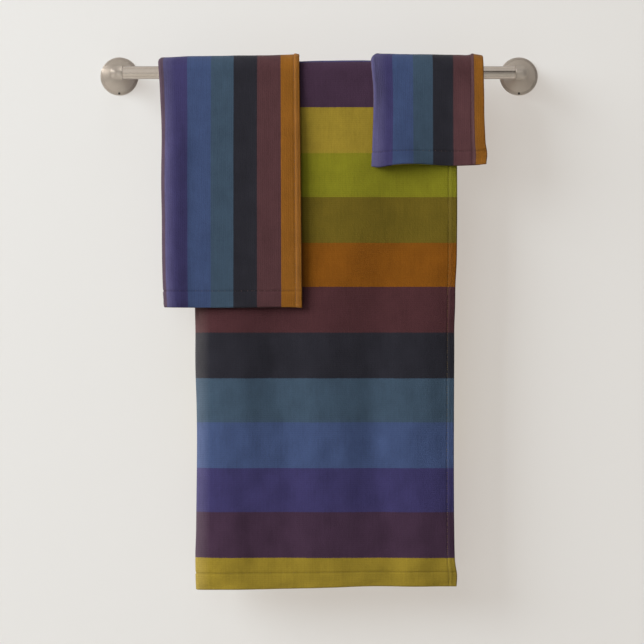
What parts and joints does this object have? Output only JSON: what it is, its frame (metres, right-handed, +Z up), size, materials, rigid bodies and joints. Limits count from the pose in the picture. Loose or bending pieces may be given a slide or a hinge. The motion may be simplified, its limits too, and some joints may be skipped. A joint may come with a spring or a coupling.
{
  "type": "bath towel set",
  "caption": "Striped bath towel, hand towel and washcloth, folded lengthwise and hung over a round wall-mounted towel rail with flared posts.",
  "frame": {"origin": "centre of the left wall plate's back face, on the wall", "axes": "+Y into the wall, +X along the bar to the right, +Z up; the bar's axis is at y = -0.07 m, z = 0"},
  "size_m": [0.657, 0.1284, 0.7925],
  "materials": {
    "brushed_nickel": "satin brushed nickel",
    "zinc_steel": "zinc plated",
    "dark_steel": "blackened",
    "grey_nylon": "matt",
    "bath_terry": "printed terry, crosswise stripes",
    "hand_terry": "printed terry, lengthwise stripes",
    "washcloth_terry": "printed terry, lengthwise stripes"
  },
  "bodies": {
    "rail": {"wall_plate_left": "zinc_steel", "wall_plate_right": "zinc_steel", "post_left": "brushed_nickel", "post_right": "brushed_nickel", "grub_screw_left": "dark_steel", "grub_screw_right": "dark_steel", "wall_screw_left_upper": "zinc_steel", "wall_screw_left_lower": "zinc_steel", "wall_screw_right_upper": "zinc_steel", "wall_screw_right_lower": "zinc_steel", "wall_plug_left_upper": "grey_nylon", "wall_plug_left_lower": "grey_nylon", "wall_plug_right_upper": "grey_nylon", "wall_plug_right_lower": "grey_nylon"},
    "bar": {"bar": "brushed_nickel"},
    "bath_towel": {"bath_arch": "bath_terry", "bath_front_upper_flap": "bath_terry", "bath_back_flap": "bath_terry", "bath_back_hem": "bath_terry"},
    "bath_towel_lower": {"bath_front_lower_flap": "bath_terry", "bath_front_lower_hem": "bath_terry"},
    "hand_towel": {"hand_arch": "hand_terry", "hand_bend": "hand_terry", "hand_back_flap": "hand_terry", "hand_back_hem": "hand_terry"},
    "hand_towel_front": {"hand_front_flap": "hand_terry", "hand_front_hem": "hand_terry"},
    "washcloth": {"washcloth_arch": "washcloth_terry", "washcloth_bend": "washcloth_terry", "washcloth_back_flap": "washcloth_terry", "washcloth_back_hem": "washcloth_terry"},
    "washcloth_front": {"washcloth_front_flap": "washcloth_terry", "washcloth_front_hem": "washcloth_terry"}
  },
  "joints": [
    {"name": "bar_turn", "type": "hinge", "parent": "rail", "child": "bar", "pos_m": [0.3, -0.07, 0], "axis": [1, 0, 0], "continuous": true},
    {"name": "bath_slide", "type": "slide", "parent": "rail", "child": "bath_towel", "axis": [1, 0, 0], "range_m": [-0.09, 0.08]},
    {"name": "bath_lift", "type": "hinge", "parent": "bath_towel", "child": "bath_towel_lower", "pos_m": [0.3097, -0.0862, -0.43], "axis": [-1, 0, 0], "range_deg": [0, 40]},
    {"name": "hand_slide", "type": "slide", "parent": "rail", "child": "hand_towel", "axis": [1, 0, 0], "range_m": [-0.05, 0.05]},
    {"name": "hand_lift", "type": "hinge", "parent": "hand_towel", "child": "hand_towel_front", "pos_m": [0.169, -0.07, 0], "axis": [-1, 0, 0], "range_deg": [0, 40], "deforming": ["hand_bend"]},
    {"name": "washcloth_slide", "type": "slide", "parent": "rail", "child": "washcloth", "axis": [1, 0, 0], "range_m": [-0.05, 0.04]},
    {"name": "washcloth_lift", "type": "hinge", "parent": "washcloth", "child": "washcloth_front", "pos_m": [0.4625, -0.07, 0], "axis": [-1, 0, 0], "range_deg": [0, 40], "deforming": ["washcloth_bend"]}
  ]
}
